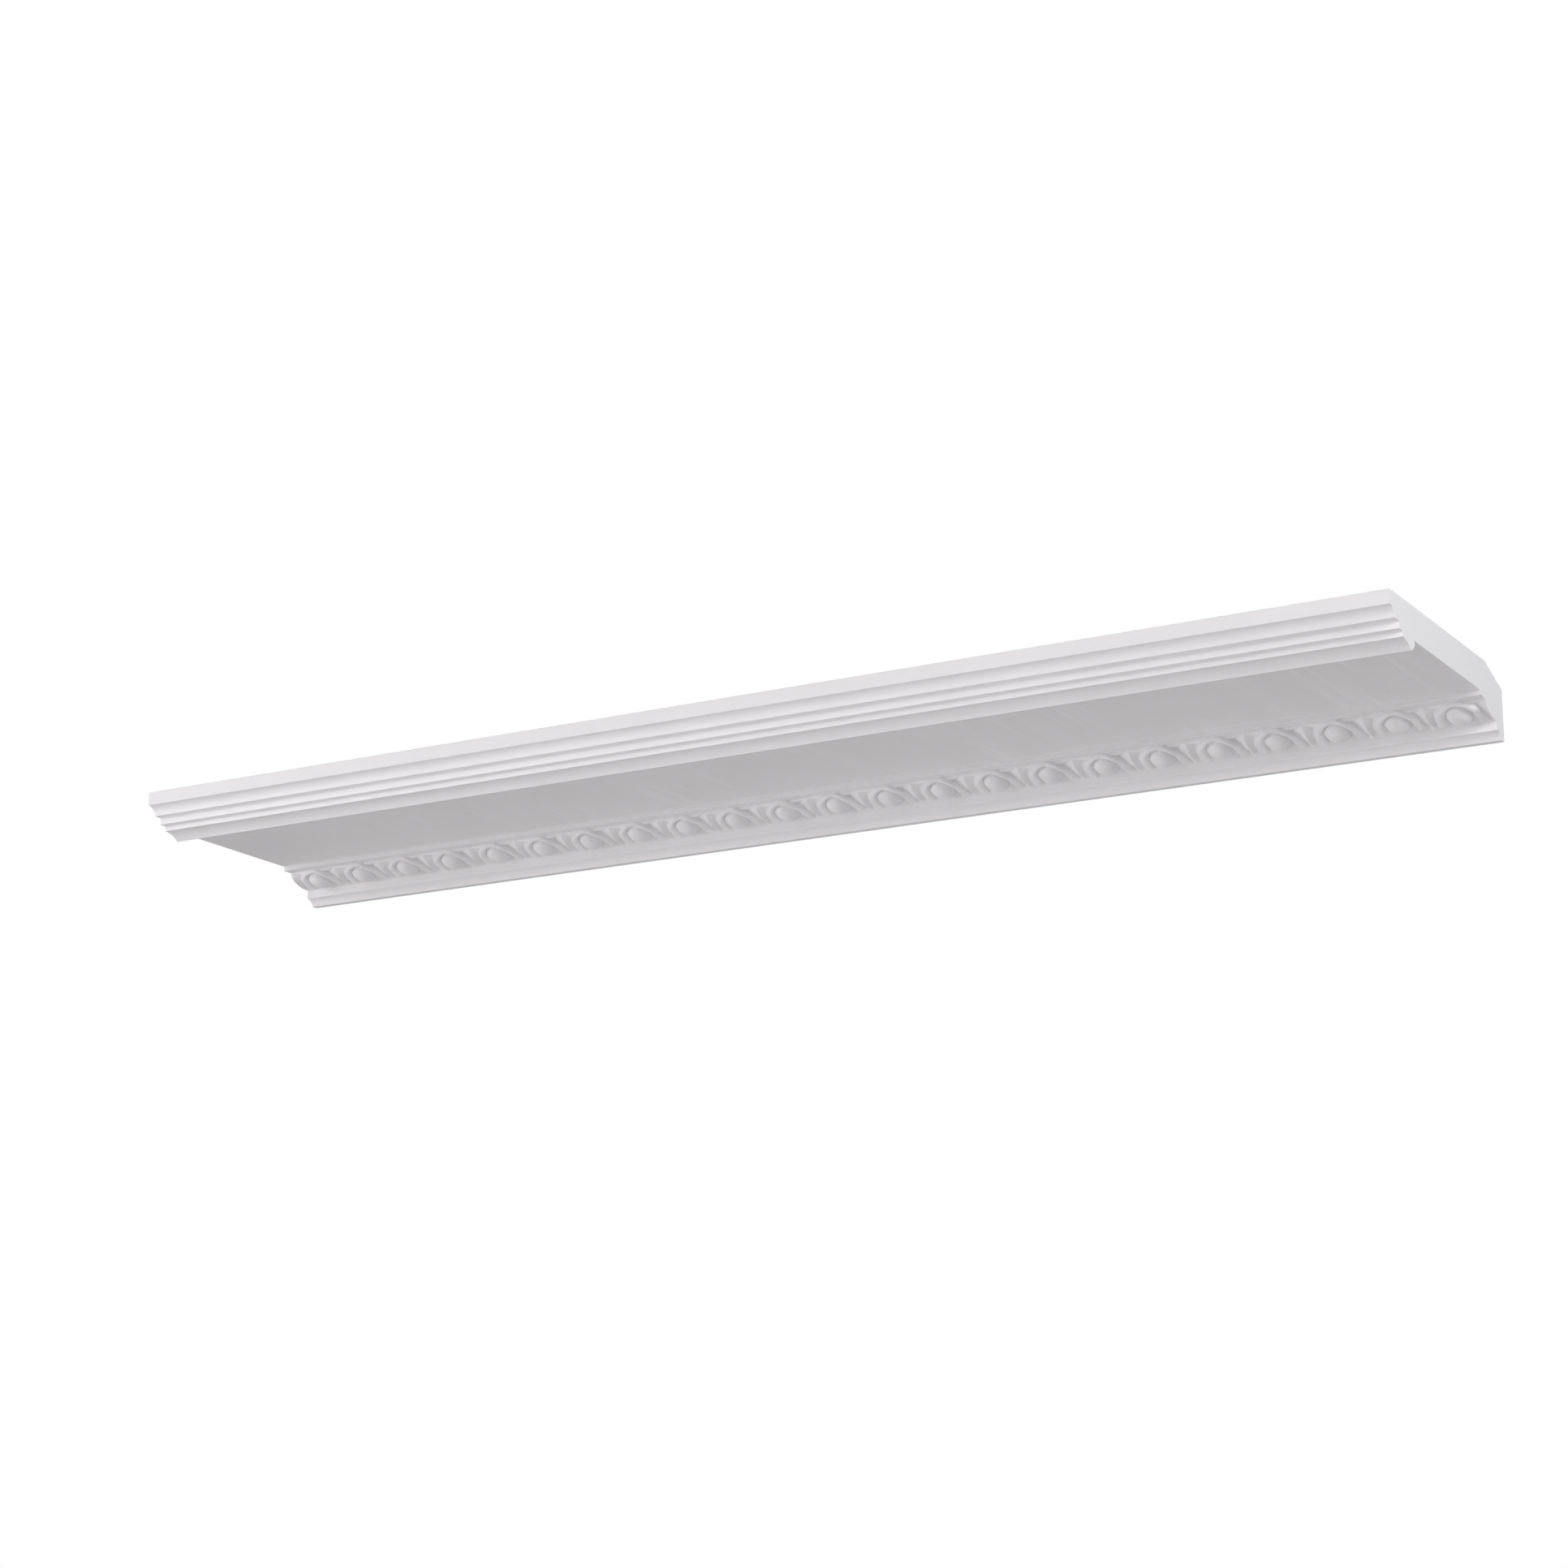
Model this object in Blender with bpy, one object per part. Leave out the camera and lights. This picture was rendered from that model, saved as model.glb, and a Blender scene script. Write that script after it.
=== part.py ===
"""A ceiling cornice: one cast length with an egg-and-dart band, cut square at both ends.

The section is drawn from two datum planes, the wall (out = 0) and the ceiling (drop = 0).
Its front steps down from the ceiling to a hanging lip, runs back along a sunk soffit, and
comes down the wall as a fillet, a carved ovolo, another fillet and a small cove.
The part stands in its own frame: X along the length, -Y out into the room, +Z up, with the
origin in the middle of the face that is bonded to the ceiling.
"""

import math

import bmesh
import bpy
import numpy as np
from mathutils import Vector, geometry

# Overall sizes
LENGTH = 2.000
PROJECTION = 0.4254  # from the wall to the front fascia

# Front edge, from the ceiling down
FASCIA_HEIGHT = 0.0203
UPPER_COVE_WIDTH = 0.0170
UPPER_COVE_DROP = 0.0137
UPPER_COVE_SAG = 0.0038
FIRST_STEP_WIDTH = 0.0132
FIRST_STEP_DROP = 0.0105
SECOND_STEP_WIDTH = 0.0119
SECOND_STEP_DROP = 0.0076
LIP_COVE_WIDTH = 0.0293
LIP_COVE_DROP = 0.0107
LIP_COVE_SAG = 0.0028
LIP_THICKNESS = 0.0132
LIP_BACK_HEIGHT = 0.0055  # the upright part behind the lip, down from the soffit
LIP_BACK_SAG = 0.0015

# Soffit and back
SOFFIT_DROP = 0.0467
BEVEL_OUT = 0.0650  # the corner taken off where the wall meets the ceiling
BEVEL_DROP = 0.0245

# Bed moulding, from the soffit down
TOP_FILLET_HEIGHT = 0.0068
TOP_FILLET_WIDTH = 0.0177
OVOLO_WIDTH = 0.0458
OVOLO_DROP = 0.0207
LOWER_FILLET_HEIGHT = 0.0124
FOOT_COVE_WIDTH = 0.0145
FOOT_COVE_DROP = 0.0109
FOOT_COVE_SAG = 0.0023
FOOT_WIDTH = 0.0110

# Egg-and-dart band. Places along it are measured down the ovolo from its top edge.
REPEAT_LENGTH = 0.0870  # the nearest length that fills the cornice with whole repeats is used
GROUND_DEPTH = 0.0050
BAND_MIDDLE = 0.0270  # the level of the egg's widest place
EGG_HALF_WIDTH = 0.0188
EGG_RISE = 0.0202  # from the widest place to the egg's top
EGG_FALL = 0.0222
EGG_PROUD = 0.0024
RIM_HALF_WIDTH = 0.0236  # the crest of the shell that frames the egg
RIM_RISE = 0.0234
RIM_PROUD = 0.0006
RIM_LEAN = 0.0022  # how much further the crest stands out at the top
CHANNEL_SIDE = 0.0026  # width of the slope from the crest to the channel round the egg
SHELL_HALF_WIDTH = 0.0332  # the shell's outer edge
SHELL_RISE = 0.0284
SHELL_FLARE = 0.0042  # how far the outer edge of its legs spreads at the bottom
SHELL_EDGE_DEPTH = 0.0006
SHELL_SIDE = 0.0038  # width of the slope outside that edge
DART_HALF_WIDTH = 0.0085
DART_WAIST_HALF_WIDTH = 0.0046
DART_WAIST = 0.0180  # how far down the dart its waist is
DART_TIP_HALF_WIDTH = 0.0018
DART_DEPTH = 0.0006  # its ridge under the ovolo
FOOT_RAMP = 0.0100  # where the ground climbs to the foot of the band
FOOT_DEPTH = 0.0006
TOP_LIP = 0.0018

ARC_STEPS = 6
OVOLO_STEPS = 10
EGG_SIDES = 16
ARCH_STEPS = 9
EGG_RINGS = (0.42, 0.76, 0.94, 1.0)
WELD = 1e-6


def arc(start, end, sag, steps):
    """Points of the arc from start to end, bulging by sag to the left of its chord."""
    start, end = Vector(start), Vector(end)
    chord = end - start
    half = chord.length / 2
    left = Vector((-chord.y, chord.x)).normalized()
    radius = (half * half + sag * sag) / (2 * abs(sag))
    reach = math.asin(min(1.0, half / radius))
    points = []
    for i in range(steps + 1):
        angle = reach * (2 * i / steps - 1)
        along = radius * math.sin(angle)
        aside = radius * math.cos(angle) - radius * math.cos(reach)
        points.append((start + end) / 2 + chord.normalized() * along + left * math.copysign(aside, sag))
    return [tuple(p) for p in points]


# Levels of the bed moulding, as (out, drop) from the wall and the ceiling
OVOLO_BACK = FOOT_WIDTH + FOOT_COVE_WIDTH
OVOLO_FRONT = OVOLO_BACK + OVOLO_WIDTH
OVOLO_TOP = SOFFIT_DROP + TOP_FILLET_HEIGHT
OVOLO_FOOT = OVOLO_TOP + OVOLO_DROP
FILLET_FRONT = OVOLO_FRONT + TOP_FILLET_WIDTH
FILLET_FOOT = OVOLO_FOOT + LOWER_FILLET_HEIGHT
TOTAL_DROP = FILLET_FOOT + FOOT_COVE_DROP
CEILING_MIDDLE = (PROJECTION + BEVEL_OUT) / 2

REPEATS = max(2, round(LENGTH / REPEAT_LENGTH))
REPEAT = LENGTH / REPEATS
HALF_REPEAT = REPEAT / 2


def front_edge():
    """(out, drop) from the ceiling's front corner to the soffit's front edge."""
    out, drop = PROJECTION, FASCIA_HEIGHT
    points = [(out, 0.0)]
    cove_end = (out - UPPER_COVE_WIDTH, drop + UPPER_COVE_DROP)
    points += arc((out, drop), cove_end, UPPER_COVE_SAG, ARC_STEPS)
    out, drop = cove_end
    for width, height in ((FIRST_STEP_WIDTH, FIRST_STEP_DROP), (SECOND_STEP_WIDTH, SECOND_STEP_DROP)):
        out -= width
        points.append((out, drop))
        drop += height
        points.append((out, drop))
    lip = (out - LIP_COVE_WIDTH, drop + LIP_COVE_DROP)
    points += arc((out, drop), lip, LIP_COVE_SAG, ARC_STEPS)[1:]
    back = (lip[0] - LIP_THICKNESS, SOFFIT_DROP + LIP_BACK_HEIGHT)
    points += arc(lip, back, -LIP_BACK_SAG, ARC_STEPS // 2)[1:]
    points.append((back[0], SOFFIT_DROP))
    return points


def foot():
    """(out, drop) from the foot of the lower fillet back to the wall and up to the ceiling."""
    cove_end = (FOOT_WIDTH, TOTAL_DROP)
    points = arc((OVOLO_BACK, FILLET_FOOT), cove_end, FOOT_COVE_SAG, ARC_STEPS)
    return points + [(0.0, TOTAL_DROP), (0.0, BEVEL_DROP), (BEVEL_OUT, 0.0)]


# The ovolo's quarter ellipse by distance down its face
_angles = np.linspace(0.0, math.pi / 2, 400)
_steps = np.hypot(OVOLO_WIDTH * np.diff(np.cos(_angles)), OVOLO_DROP * np.diff(np.sin(_angles)))
_downs = np.concatenate([[0.0], np.cumsum(_steps)])
BAND_HEIGHT = float(_downs[-1])


def on_ovolo(along, down, height):
    """The place in space of a point of the band that stands height above the ovolo."""
    angle = float(np.interp(down, _downs, _angles))
    normal = Vector((math.cos(angle) / OVOLO_WIDTH, math.sin(angle) / OVOLO_DROP)).normalized()
    out = OVOLO_BACK + OVOLO_WIDTH * math.cos(angle) + normal.x * height
    drop = OVOLO_TOP + OVOLO_DROP * math.sin(angle) + normal.y * height
    return in_frame(along, out, drop)


def in_frame(along, out, drop):
    return (along, CEILING_MIDDLE - out, -drop)


def ease(t):
    t = min(1.0, max(0.0, t))
    return t * t * (3 - 2 * t)


def leg_spread(share):
    """How much of its flare a leg has at this share of the way from BAND_MIDDLE to the foot."""
    return share**1.5


def beyond(aside, down, half_width, rise, flare):
    """Distance outside an arch that is half_width wide at BAND_MIDDLE and rise high, with legs that flare."""
    below = down - BAND_MIDDLE
    if below >= 0:
        return aside - half_width - flare * leg_spread(below / (BAND_HEIGHT - BAND_MIDDLE))
    reach = math.hypot(aside, below)
    level = math.hypot(aside / half_width, below / rise)
    return reach * (1 - 1 / level) if level > 1e-9 else -half_width


def egg_level(aside, down):
    """0 at the egg's middle and 1 on its outline."""
    below = down - BAND_MIDDLE
    return math.hypot(aside / EGG_HALF_WIDTH, below / (EGG_FALL if below > 0 else EGG_RISE))


def ground(down):
    """Depth of the ground, which climbs at the foot of the band."""
    climb = ease((down - BAND_HEIGHT + FOOT_RAMP) / FOOT_RAMP)
    return GROUND_DEPTH + (FOOT_DEPTH - GROUND_DEPTH) * climb


def dart_half_width(down):
    levels = (0.0, DART_WAIST, BAND_HEIGHT)
    return float(np.interp(down, levels, (DART_HALF_WIDTH, DART_WAIST_HALF_WIDTH, DART_TIP_HALF_WIDTH)))


def shell(aside, down, depth):
    """Height of the shell that frames the egg: a channel side, a broad rounded back and an outer side."""
    crest = RIM_PROUD + RIM_LEAN * ease((BAND_MIDDLE - down) / BAND_MIDDLE)
    past_rim = beyond(aside, down, RIM_HALF_WIDTH, RIM_RISE, 0.0)
    past_edge = beyond(aside, down, SHELL_HALF_WIDTH, SHELL_RISE, SHELL_FLARE)
    if past_rim < 0:
        return -depth + (depth + crest) * ease(1 + past_rim / CHANNEL_SIDE)
    if past_edge < 0:
        share = past_rim / (past_rim - past_edge)
        return crest - (crest + SHELL_EDGE_DEPTH) * share * share
    return -SHELL_EDGE_DEPTH - (depth - SHELL_EDGE_DEPTH) * ease(past_edge / SHELL_SIDE)


def relief(aside, down):
    """Height above the ovolo at a distance aside from the middle of the egg."""
    depth = ground(down)
    heights = [-depth * ease(down / TOP_LIP), shell(aside, down, depth)]
    level = egg_level(aside, down)
    if level < 1:
        heights.append(-depth + (depth + EGG_PROUD) * (1 - level * level) ** 0.5)
    from_ridge = (HALF_REPEAT - aside) / dart_half_width(down)
    heights.append(-DART_DEPTH - (depth - DART_DEPTH) * min(1.0, from_ridge))
    return max(heights)


def arch_line(half_width, rise, flare):
    """One leg and half the arch, from the band's foot up to the middle line, as (aside, down)."""
    leg_steps = ARCH_STEPS // 2
    points = []
    for i in range(leg_steps):
        share = 1 - i / leg_steps
        points.append((half_width + flare * leg_spread(share), BAND_MIDDLE + share * (BAND_HEIGHT - BAND_MIDDLE)))
    for i in range(ARCH_STEPS - leg_steps + 1):
        angle = math.pi / 2 * i / (ARCH_STEPS - leg_steps)
        points.append((half_width * math.cos(angle), BAND_MIDDLE - rise * math.sin(angle)))
    return points


def cell_triangles():
    """The band's repeat as (points, triangles), in (aside, down) from the middle of its egg."""
    points, edges = [], []

    def line(run, closed=False):
        first = len(points)
        points.extend(Vector((min(HALF_REPEAT, max(-HALF_REPEAT, a)), max(0.0, d))) for a, d in run)
        edges.extend((first + i, first + i + 1) for i in range(len(run) - 1))
        if closed:
            edges.append((len(points) - 1, first))

    for side in (-1, 1):
        line([(side * HALF_REPEAT, BAND_HEIGHT * i / OVOLO_STEPS) for i in range(OVOLO_STEPS + 1)])
        dart_foot = [0.0, TOP_LIP, DART_WAIST, (DART_WAIST + BAND_HEIGHT) / 2, BAND_HEIGHT]
        line([(side * (HALF_REPEAT - dart_half_width(d)), d) for d in dart_foot])
    for level in (0.0, BAND_HEIGHT):
        line([(-HALF_REPEAT, level), (HALF_REPEAT, level)])
    for ring in EGG_RINGS:
        turn = [2 * math.pi * i / EGG_SIDES for i in range(EGG_SIDES)]
        line(
            [
                (
                    ring * EGG_HALF_WIDTH * math.cos(a),
                    BAND_MIDDLE + ring * math.sin(a) * (EGG_FALL if math.sin(a) > 0 else EGG_RISE),
                )
                for a in turn
            ],
            closed=True,
        )
    points.append(Vector((0.0, BAND_MIDDLE)))
    middle_width = (RIM_HALF_WIDTH + SHELL_HALF_WIDTH) / 2
    arches = (
        (RIM_HALF_WIDTH - CHANNEL_SIDE, RIM_RISE - CHANNEL_SIDE, 0.0),
        (RIM_HALF_WIDTH, RIM_RISE, 0.0),
        (middle_width, (RIM_RISE + SHELL_RISE) / 2, SHELL_FLARE / 2),
        (SHELL_HALF_WIDTH, SHELL_RISE, SHELL_FLARE),
        (SHELL_HALF_WIDTH + SHELL_SIDE, SHELL_RISE + SHELL_SIDE, SHELL_FLARE),
    )
    for half_width, rise, flare in arches:
        leg = arch_line(half_width, rise, flare)
        line(leg + [(-a, d) for a, d in reversed(leg[:-1])])
    tolerance = 1e-6
    made, _, faces, *_ = geometry.delaunay_2d_cdt(points, edges, [], 0, tolerance)
    return [tuple(p) for p in made], faces


def build_cornice():
    bm = bmesh.new()
    ends = (-LENGTH / 2, LENGTH / 2)

    def face(places):
        return bm.faces.new([bm.verts.new(p) for p in places])

    upper = front_edge() + [(FILLET_FRONT, SOFFIT_DROP), (FILLET_FRONT, OVOLO_TOP)]
    lower = foot()
    plain = list(zip(upper[:-1], upper[1:])) + list(zip(lower[:-1], lower[1:])) + [(lower[-1], upper[0])]
    for a, b in plain:
        face([in_frame(ends[0], *a), in_frame(ends[0], *b), in_frame(ends[1], *b), in_frame(ends[1], *a)])

    cell, faces = cell_triangles()
    for k in range(REPEATS):
        middle = ends[0] + REPEAT * (k + 0.5)
        placed = [bm.verts.new(on_ovolo(middle + a, d, relief(abs(a), d))) for a, d in cell]
        for corners in faces:
            bm.faces.new([placed[i] for i in corners])

    def band_edge(level):
        asides = sorted(a for a, d in cell if abs(d - level) < WELD)
        return [
            on_ovolo(ends[0] + REPEAT * (k + 0.5) + a, level, relief(abs(a), level))
            for k in range(REPEATS)
            for a in (asides if k == 0 else asides[1:])
        ]

    face([in_frame(x, *upper[-1]) for x in ends] + band_edge(0.0)[::-1])
    face([in_frame(x, *lower[0]) for x in reversed(ends)] + band_edge(BAND_HEIGHT))

    ridge = [(HALF_REPEAT, d) for a, d in sorted(cell, key=lambda p: p[1]) if abs(a - HALF_REPEAT) < WELD]
    for x in ends:
        section = [in_frame(x, *p) for p in upper]
        section += [on_ovolo(x, d, relief(a, d)) for a, d in ridge]
        section += [in_frame(x, *p) for p in lower]
        face(section)

    bmesh.ops.remove_doubles(bm, verts=bm.verts, dist=WELD)
    bmesh.ops.recalc_face_normals(bm, faces=bm.faces)
    bmesh.ops.triangulate(bm, faces=bm.faces)
    mesh = bpy.data.meshes.new("cornice")
    bm.to_mesh(mesh)
    bm.free()
    cornice = bpy.data.objects.new("cornice", mesh)
    bpy.context.scene.collection.objects.link(cornice)
    return cornice


def white_primer():
    """Smooth white factory primer over the casting."""
    material = bpy.data.materials.new("white_primer")
    material.use_nodes = True
    shader = material.node_tree.nodes["Principled BSDF"]
    shader.inputs["Base Color"].default_value = (0.86, 0.86, 0.86, 1.0)
    shader.inputs["Roughness"].default_value = 0.55
    shader.inputs["Metallic"].default_value = 0.0
    return material


def main():
    for old in list(bpy.data.objects):
        bpy.data.objects.remove(old)
    cornice = build_cornice()
    cornice.data.materials.append(white_primer())


main()
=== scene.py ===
# %% [markdown]
# # A cast ceiling cornice with an egg-and-dart band
#
# The real thing is one white length of moulded cornice. Its front steps down from the ceiling
# to a hanging lip, its broad soffit is sunk behind that lip, and a carved bed moulding comes
# down the wall. This lesson makes it as one closed mesh: the plain mouldings are a section
# pushed straight along, and the carved band is a fine grid raised by a small height function.
# A displacement on a plain ovolo could do the same, but a grid of its own puts every point where
# the carving needs it.
#
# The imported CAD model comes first, because it fixes the place and the size of everything.

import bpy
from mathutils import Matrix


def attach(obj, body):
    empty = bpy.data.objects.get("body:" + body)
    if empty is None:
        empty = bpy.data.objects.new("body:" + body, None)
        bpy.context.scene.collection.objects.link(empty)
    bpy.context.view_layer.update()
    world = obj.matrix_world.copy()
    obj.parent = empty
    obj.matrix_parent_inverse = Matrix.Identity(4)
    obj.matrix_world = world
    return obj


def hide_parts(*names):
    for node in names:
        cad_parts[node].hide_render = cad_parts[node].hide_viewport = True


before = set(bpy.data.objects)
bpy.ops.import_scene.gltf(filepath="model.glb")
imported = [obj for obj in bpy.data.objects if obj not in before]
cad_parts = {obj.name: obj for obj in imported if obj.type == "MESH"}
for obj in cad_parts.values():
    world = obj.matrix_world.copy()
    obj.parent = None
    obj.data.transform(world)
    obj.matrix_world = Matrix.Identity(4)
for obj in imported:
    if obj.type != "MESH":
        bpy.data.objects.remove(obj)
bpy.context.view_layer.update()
print("packed nodes:", sorted(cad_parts))

# %% Libraries
import math

import bmesh
import bpy
import numpy as np
from mathutils import Vector

# %% [markdown]
# ## The section
#
# A cornice is drawn from two planes that a builder can touch: the wall, where out is 0, and
# the ceiling, where drop is 0. Every size here is one that a moulding maker would name, and
# they are the same ones that the CAD source uses. All are in metres.

# %% Overall sizes
LENGTH = 2.000
PROJECTION = 0.4254
print("length and projection:", LENGTH, PROJECTION)

# %% The front edge, from the ceiling down
FASCIA_HEIGHT = 0.0203
UPPER_COVE_WIDTH = 0.0170
UPPER_COVE_DROP = 0.0137
UPPER_COVE_SAG = 0.0038
FIRST_STEP_WIDTH = 0.0132
FIRST_STEP_DROP = 0.0105
SECOND_STEP_WIDTH = 0.0119
SECOND_STEP_DROP = 0.0076
LIP_COVE_WIDTH = 0.0293
LIP_COVE_DROP = 0.0107
LIP_COVE_SAG = 0.0028
LIP_THICKNESS = 0.0132
LIP_BACK_HEIGHT = 0.0055
LIP_BACK_SAG = 0.0015
lip_drop = FASCIA_HEIGHT + UPPER_COVE_DROP + FIRST_STEP_DROP + SECOND_STEP_DROP + LIP_COVE_DROP
print("front edge, ceiling to lip:", round(lip_drop, 4))

# %% The soffit and the slanted corner behind it
SOFFIT_DROP = 0.0467
BEVEL_OUT = 0.0650
BEVEL_DROP = 0.0245
print("soffit below the ceiling:", SOFFIT_DROP)

# %% The bed moulding, from the soffit down
TOP_FILLET_HEIGHT = 0.0068
TOP_FILLET_WIDTH = 0.0177
OVOLO_WIDTH = 0.0458
OVOLO_DROP = 0.0207
LOWER_FILLET_HEIGHT = 0.0124
FOOT_COVE_WIDTH = 0.0145
FOOT_COVE_DROP = 0.0109
FOOT_COVE_SAG = 0.0023
FOOT_WIDTH = 0.0110

OVOLO_BACK = FOOT_WIDTH + FOOT_COVE_WIDTH
OVOLO_FRONT = OVOLO_BACK + OVOLO_WIDTH
OVOLO_TOP = SOFFIT_DROP + TOP_FILLET_HEIGHT
OVOLO_FOOT = OVOLO_TOP + OVOLO_DROP
FILLET_FRONT = OVOLO_FRONT + TOP_FILLET_WIDTH
FILLET_FOOT = OVOLO_FOOT + LOWER_FILLET_HEIGHT
TOTAL_DROP = FILLET_FOOT + FOOT_COVE_DROP
CEILING_MIDDLE = (PROJECTION + BEVEL_OUT) / 2
print("drop from the ceiling:", round(TOTAL_DROP, 4))

# %% [markdown]
# A cove is a shallow arc between two corners. It is set out by its chord and by how far it
# bulges from that chord, as a template maker does with a batten. The two helpers below draw an
# arc that way and list the section's points from the ceiling to the carved band, and from the
# band back to the wall.

# %% Helpers for the section
COVE_STEPS = 9
LIP_BACK_STEPS = 4


def arc(start, end, sag, steps):
    """Points of the arc from start to end that bulges by sag to the left of its chord."""
    start, end = np.array(start), np.array(end)
    chord = end - start
    half = np.hypot(*chord) / 2
    toward = chord / (2 * half)
    left = np.array([-toward[1], toward[0]])
    radius = (half * half + sag * sag) / (2 * abs(sag))
    reach = math.asin(min(1.0, half / radius))
    angles = reach * np.linspace(-1, 1, steps + 1)
    aside = math.copysign(1.0, sag) * radius * (np.cos(angles) - math.cos(reach))
    places = (start + end) / 2 + np.outer(radius * np.sin(angles), toward) + np.outer(aside, left)
    return [tuple(place) for place in places]


def front_section():
    """(out, drop) from the slanted corner's top over the ceiling face and down to the carved band."""
    points = [(BEVEL_OUT, 0.0), (PROJECTION, 0.0)]
    cove_foot = (PROJECTION - UPPER_COVE_WIDTH, FASCIA_HEIGHT + UPPER_COVE_DROP)
    points += arc((PROJECTION, FASCIA_HEIGHT), cove_foot, UPPER_COVE_SAG, COVE_STEPS)
    out, drop = cove_foot
    for width, height in ((FIRST_STEP_WIDTH, FIRST_STEP_DROP), (SECOND_STEP_WIDTH, SECOND_STEP_DROP)):
        out -= width
        points.append((out, drop))
        drop += height
        points.append((out, drop))
    lip = (out - LIP_COVE_WIDTH, drop + LIP_COVE_DROP)
    points += arc((out, drop), lip, LIP_COVE_SAG, COVE_STEPS)[1:]
    lip_back = (lip[0] - LIP_THICKNESS, SOFFIT_DROP + LIP_BACK_HEIGHT)
    points += arc(lip, lip_back, -LIP_BACK_SAG, LIP_BACK_STEPS)[1:]
    points += [(lip_back[0], SOFFIT_DROP), (FILLET_FRONT, SOFFIT_DROP)]
    return points + [(FILLET_FRONT, OVOLO_TOP), (OVOLO_FRONT, OVOLO_TOP)]


def back_section():
    """(out, drop) from the carved band's foot to the wall and up to the slanted corner's top."""
    cove = arc((OVOLO_BACK, FILLET_FOOT), (FOOT_WIDTH, TOTAL_DROP), FOOT_COVE_SAG, COVE_STEPS)
    return [(OVOLO_BACK, OVOLO_FOOT)] + cove + [(0.0, TOTAL_DROP), (0.0, BEVEL_DROP), (BEVEL_OUT, 0.0)]


print("section points:", len(front_section()) + len(back_section()))

# %% [markdown]
# No corner of a casting is perfectly sharp. The mould, the primer and handling round each one
# by about a millimetre, and that thin rounded line is what catches the light. The hollows of the
# front steps are rounder still, so each riser fades from dark to light. A bevel modifier
# could do it, but it would also touch the carving. Here the drawn section is softened before it
# is pushed along, and a holding point on each side keeps the flat faces flat when they are
# shaded smooth.

# %% Soften the corners of the section
OUTER_ARRIS = 0.0013
INNER_ARRIS = 0.0007
STEP_HOLLOW = 0.0026
CORNER_TURN = math.radians(18)
ARRIS_STEPS = 4
HOLD = 0.0003
MOST_OF_A_SIDE = 0.42


def softened(points):
    """The same section with each real corner drawn as a small curve between two holding points."""
    points = [np.array(point) for point in points]
    made = [points[0]]
    for before, corner, after in zip(points[:-2], points[1:-1], points[2:]):
        into = corner - before
        away = after - corner
        lengths = np.hypot(*into), np.hypot(*away)
        into, away = into / lengths[0], away / lengths[1]
        turn = math.atan2(into[0] * away[1] - into[1] * away[0], float(into @ away))
        if abs(turn) < CORNER_TURN:
            made.append(corner)
            continue
        hollow = STEP_HOLLOW if corner[1] < SOFFIT_DROP else INNER_ARRIS
        radius = hollow if turn < 0 else OUTER_ARRIS
        setback = min(radius * math.tan(abs(turn) / 2), MOST_OF_A_SIDE * min(lengths))
        start, end = corner - into * setback, corner + away * setback
        if lengths[0] > 2 * (setback + HOLD):
            made.append(start - into * HOLD)
        for t in np.linspace(0, 1, ARRIS_STEPS + 1):
            made.append((1 - t) ** 2 * start + 2 * t * (1 - t) * corner + t * t * end)
        if lengths[1] > 2 * (setback + HOLD):
            made.append(end + away * HOLD)
    made.append(points[-1])
    return [tuple(point) for point in made]


front_line = softened(front_section())
back_line = softened(back_section())
print("softened section points:", len(front_line) + len(back_line))

# %% [markdown]
# ## The egg-and-dart band
#
# The carved moulding is an ovolo, a quarter of an ellipse in section. A carver works one
# repeat, an egg in its frame with half a dart on each side, and the mould copies it along. The
# band is described the same way, by one height function. It takes the distance aside from the
# egg's middle and the distance down the face, and gives the height above the ovolo.

# %% Sizes of one repeat
REPEAT_LENGTH = 0.0870
GROUND_DEPTH = 0.0060
CHANNEL_DEPTH = 0.0064
BAND_MIDDLE = 0.0270
EGG_HALF_WIDTH = 0.0188
EGG_RISE = 0.0218
EGG_FALL = 0.0238
EGG_FULLNESS = 0.54
EGG_PROUD = 0.0060
RIM_HALF_WIDTH = 0.0225
RIM_RISE = 0.0226
RIM_POINT = 2.0
RIM_FLARE = 0.0
RIM_HEIGHT = -0.0006
RIM_LEAN = 0.0056
RIM_ROUND = 0.0009
RIM_ROUND_SHARE = 0.30
BACK_POWER = 2.4
CHANNEL_SIDE = 0.0036
SHELL_HALF_WIDTH = 0.0325
SHELL_RISE = 0.0330
SHELL_POINT = 1.6
SHELL_FLARE = 0.0042
SHELL_EDGE_DEPTH = 0.0020
SHELL_SIDE = 0.0044
SHELL_LEAN_SHARE = 0.35
DART_HALF_WIDTH = 0.0190
DART_WAIST_HALF_WIDTH = 0.0115
DART_WAIST = 0.0180
DART_TIP_HALF_WIDTH = 0.0050
DART_DEPTH = 0.0006
FOOT_RAMP = 0.0100
FOOT_REST = 0.94
FOOT_DEPTH = 0.0008
FOOT_TONGUE = 0.0050
FOOT_SPREAD = 0.0340
FOOT_FADE = 0.0060
WEB_DEPTH = 0.0003
WEB_AT_DART = 0.0007
WEB_AT_SHELL = 0.0024
WEB_START = 0.0230
WEB_END = 0.0370
WEB_SIDE = 0.0062
SHOULDER_RISE = 0.0020
SHOULDER_START = 0.0090
SHOULDER_END = 0.0330

REPEATS = max(2, round(LENGTH / REPEAT_LENGTH))
REPEAT = LENGTH / REPEATS
HALF_REPEAT = REPEAT / 2
print("repeats:", REPEATS, "of", round(REPEAT, 5))

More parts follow.
